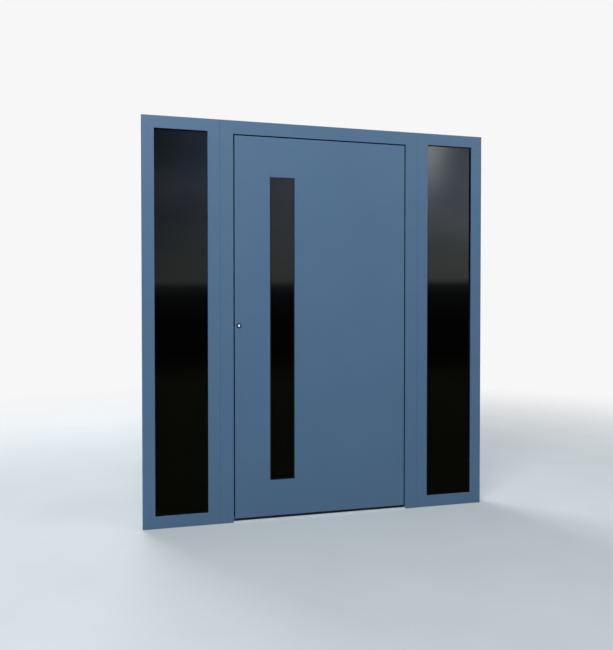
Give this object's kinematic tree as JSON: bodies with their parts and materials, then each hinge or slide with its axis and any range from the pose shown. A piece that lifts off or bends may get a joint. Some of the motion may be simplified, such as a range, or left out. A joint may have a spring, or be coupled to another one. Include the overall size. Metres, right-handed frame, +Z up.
{
  "type": "door with sidelights",
  "caption": "Flush blue metal entrance door with a tall dark glass strip, hung inward in a frame with a dark glazed sidelight on each side and a low threshold.",
  "frame": {"origin": "on the underside of the threshold, at the middle of the width and of the frame's depth", "axes": "+X to the right as seen from outside, +Y from outside to inside, +Z up"},
  "size_m": [1.89, 0.142, 2.1],
  "materials": {
    "powder_coat": "satin blue powder coat",
    "tinted_glass": "dark tinted sealed glass unit",
    "spacer": "black spacer bar",
    "gasket": "black sealing rubber",
    "threshold": "natural anodised",
    "bright_steel": "fine brushed",
    "dark_rosette": "dark satin",
    "hinge": "satin anodised",
    "core": "rigid foam filling"
  },
  "bodies": {
    "frame": {"left_outer_stile": "powder_coat", "left_inner_stile": "powder_coat", "left_head_rail": "powder_coat", "left_sill_rail": "powder_coat", "left_glass": "tinted_glass", "left_spacer": "spacer", "left_gaskets": "gasket", "left_beads": "powder_coat", "right_outer_stile": "powder_coat", "right_inner_stile": "powder_coat", "right_head_rail": "powder_coat", "right_sill_rail": "powder_coat", "right_glass": "tinted_glass", "right_spacer": "spacer", "right_gaskets": "gasket", "right_beads": "powder_coat", "lock_jamb": "powder_coat", "hinge_jamb": "powder_coat", "door_head": "powder_coat", "threshold": "threshold", "frame_gasket": "gasket", "strike_plate": "bright_steel", "lower_hinge_frame_half": "hinge", "middle_hinge_frame_half": "hinge", "upper_hinge_frame_half": "hinge"},
    "leaf": {"leaf_lock_stile": "powder_coat", "leaf_hinge_stile": "powder_coat", "leaf_top_rail": "powder_coat", "leaf_bottom_rail": "powder_coat", "leaf_core": "core", "leaf_outer_skin": "powder_coat", "leaf_inner_skin": "powder_coat", "bottom_seal": "gasket", "strip_glass": "tinted_glass", "strip_spacer": "spacer", "strip_gaskets": "gasket", "strip_inner_frame": "powder_coat", "lock_faceplate": "bright_steel", "lock_cylinder": "bright_steel", "outside_rosette": "dark_rosette", "inside_rosettes": "bright_steel", "inside_lever": "bright_steel", "lower_hinge_leaf_half": "hinge", "middle_hinge_leaf_half": "hinge", "upper_hinge_leaf_half": "hinge"}
  },
  "joints": [
    {"name": "door_hinge", "type": "hinge", "parent": "frame", "child": "leaf", "pos_m": [0.5, 0.052, 0], "axis": [0, 0, -1], "range_deg": [0, 110]}
  ]
}
